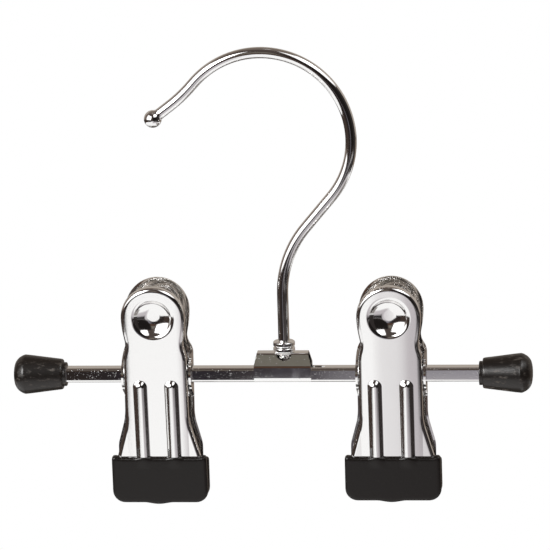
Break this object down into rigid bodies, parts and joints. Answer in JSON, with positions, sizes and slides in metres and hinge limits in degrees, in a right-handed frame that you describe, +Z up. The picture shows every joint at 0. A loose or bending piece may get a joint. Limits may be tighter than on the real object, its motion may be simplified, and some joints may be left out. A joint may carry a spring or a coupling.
{
  "type": "clip hanger",
  "caption": "Swivelling wire hook over a short square bar with sliding spring clips whose jaws have dipped vinyl tips, for hanging trousers, skirts or boots.",
  "frame": {"origin": "underside of the hook's crown, where it hangs on a rail", "axes": "+X along the bar to the right of the picture, +Z up, -Y towards the front"},
  "size_m": [0.1622, 0.0162, 0.145],
  "materials": {
    "hook": "bright chrome plate",
    "hook_collar": "bright chrome plate",
    "swivel_washer": "bright chrome plate",
    "bar": "bright chrome plate",
    "centre_bracket": "bright chrome plate",
    "left_end_cap": "semi-matt black vinyl",
    "right_end_cap": "semi-matt black vinyl",
    "left_leaf_spring": "plain spring steel",
    "left_front_jaw": "bright chrome plate",
    "left_front_tip": "semi-matt black vinyl",
    "left_back_jaw": "bright chrome plate",
    "left_back_tip": "semi-matt black vinyl",
    "right_leaf_spring": "plain spring steel",
    "right_front_jaw": "bright chrome plate",
    "right_front_tip": "semi-matt black vinyl",
    "right_back_jaw": "bright chrome plate",
    "right_back_tip": "semi-matt black vinyl"
  },
  "bodies": {
    "hook": {"hook": "hook", "hook_collar": "hook_collar"},
    "crossbar": {"bar": "bar", "centre_bracket": "centre_bracket", "swivel_washer": "swivel_washer", "left_end_cap": "left_end_cap", "right_end_cap": "right_end_cap"},
    "left_clip": {"left_leaf_spring": "left_leaf_spring"},
    "left_front_jaw": {"left_front_jaw": "left_front_jaw", "left_front_tip": "left_front_tip"},
    "left_back_jaw": {"left_back_jaw": "left_back_jaw", "left_back_tip": "left_back_tip"},
    "right_clip": {"right_leaf_spring": "right_leaf_spring"},
    "right_front_jaw": {"right_front_jaw": "right_front_jaw", "right_front_tip": "right_front_tip"},
    "right_back_jaw": {"right_back_jaw": "right_back_jaw", "right_back_tip": "right_back_tip"}
  },
  "joints": [
    {"name": "hook_swivel", "type": "hinge", "parent": "hook", "child": "crossbar", "pos_m": [0.00503, 0, -0.09978], "axis": [0, 0, 1], "continuous": true},
    {"name": "left_clip_slide", "type": "slide", "parent": "crossbar", "child": "left_clip", "axis": [1, 0, 0], "range_m": [-0.0173, 0.0194]},
    {"name": "left_front_jaw_hinge", "type": "hinge", "parent": "left_clip", "child": "left_front_jaw", "pos_m": [-0.03497, 0, -0.09978], "axis": [-1, 0, 0], "range_deg": [0, 10], "stiffness_Nm_per_rad": 0.6, "springref_deg": -20.05, "deforming": ["left_leaf_spring"]},
    {"name": "left_back_jaw_hinge", "type": "hinge", "parent": "left_clip", "child": "left_back_jaw", "pos_m": [-0.03497, 0, -0.09978], "axis": [1, 0, 0], "range_deg": [0, 10]},
    {"name": "right_clip_slide", "type": "slide", "parent": "crossbar", "child": "right_clip", "axis": [1, 0, 0], "range_m": [-0.0131, 0.0161]},
    {"name": "right_front_jaw_hinge", "type": "hinge", "parent": "right_clip", "child": "right_front_jaw", "pos_m": [0.03823, 0, -0.09978], "axis": [-1, 0, 0], "range_deg": [0, 10], "stiffness_Nm_per_rad": 0.6, "springref_deg": -20.05, "deforming": ["right_leaf_spring"]},
    {"name": "right_back_jaw_hinge", "type": "hinge", "parent": "right_clip", "child": "right_back_jaw", "pos_m": [0.03823, 0, -0.09978], "axis": [1, 0, 0], "range_deg": [0, 10]}
  ],
  "couplings": [
    {"joint": "left_back_jaw_hinge", "follows": "left_front_jaw_hinge", "ratio": 1},
    {"joint": "right_back_jaw_hinge", "follows": "right_front_jaw_hinge", "ratio": 1}
  ]
}
